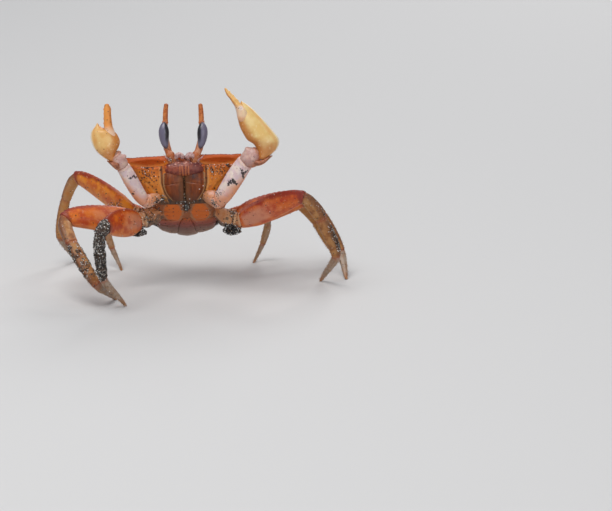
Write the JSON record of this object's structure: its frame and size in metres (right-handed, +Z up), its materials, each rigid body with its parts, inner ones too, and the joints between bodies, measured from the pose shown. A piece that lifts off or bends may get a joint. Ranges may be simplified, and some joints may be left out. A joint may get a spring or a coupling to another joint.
{
  "type": "horned ghost crab",
  "caption": "Life-size still model of a horned ghost crab, standing with its trunk tipped up, eye horns erect and both claws raised in threat.",
  "frame": {"origin": "floor level, under the middle of the crab's box", "axes": "+X to the crab's left, -Y the way it faces, +Z up"},
  "size_m": [0.1092, 0.0794, 0.0772],
  "materials": {
    "shell_orange": "satin shell, orange red, finely granular",
    "belly_orange": "satin shell, orange with dark freckles",
    "mouth_brown": "satin shell, brown orange with pale rims",
    "leg_red": "smooth shell, red orange with pale patches",
    "leg_tan": "dull shell, ochre with dark specks",
    "arm_white": "satin shell, white to pink",
    "claw_cream": "smooth shell, cream with orange edges",
    "horn_orange": "satin shell, orange brown",
    "cornea_grey": "glossy slate grey eye surface",
    "joint_skin": "soft skin between the shell plates",
    "sand": "loose grains of dark volcanic sand that cling to the shell",
    "bristle": "stiff short hairs"
  },
  "bodies": {
    "root": {"carapace": "shell_orange", "face": "belly_orange", "sternum": "belly_orange", "pleon": "belly_orange", "maxilliped_left": "mouth_brown", "maxilliped_right": "mouth_brown", "eyestalk_left": "horn_orange", "eyestalk_right": "horn_orange", "cornea_left": "cornea_grey", "cornea_right": "cornea_grey", "claw_left_base": "leg_tan", "claw_left_merus": "arm_white", "claw_left_carpus": "arm_white", "claw_left_hand": "claw_cream", "claw_left_finger": "claw_cream", "leg2_left_base": "leg_tan", "leg2_left_merus": "leg_red", "leg2_left_carpus": "leg_tan", "leg2_left_propodus": "leg_tan", "leg2_left_dactyl": "leg_tan", "leg3_left_base": "leg_tan", "leg3_left_merus": "leg_red", "leg3_left_carpus": "leg_tan", "leg3_left_propodus": "leg_tan", "leg3_left_dactyl": "leg_tan", "leg4_left_base": "leg_tan", "leg4_left_merus": "leg_red", "leg4_left_carpus": "leg_tan", "leg4_left_propodus": "leg_tan", "leg4_left_dactyl": "leg_tan", "leg5_left_base": "leg_tan", "leg5_left_merus": "leg_red", "leg5_left_carpus": "leg_tan", "leg5_left_propodus": "leg_tan", "leg5_left_dactyl": "leg_tan", "claw_right_base": "leg_tan", "claw_right_merus": "arm_white", "claw_right_carpus": "arm_white", "claw_right_hand": "claw_cream", "claw_right_finger": "claw_cream", "leg2_right_base": "leg_tan", "leg2_right_merus": "leg_red", "leg2_right_carpus": "leg_tan", "leg2_right_propodus": "leg_tan", "leg2_right_dactyl": "leg_tan", "leg3_right_base": "leg_tan", "leg3_right_merus": "leg_red", "leg3_right_carpus": "leg_tan", "leg3_right_propodus": "leg_tan", "leg3_right_dactyl": "leg_tan", "leg4_right_base": "leg_tan", "leg4_right_merus": "leg_red", "leg4_right_carpus": "leg_tan", "leg4_right_propodus": "leg_tan", "leg4_right_dactyl": "leg_tan", "leg5_right_base": "leg_tan", "leg5_right_merus": "leg_red", "leg5_right_carpus": "leg_tan", "leg5_right_propodus": "leg_tan", "leg5_right_dactyl": "leg_tan"}
  },
  "joints": []
}
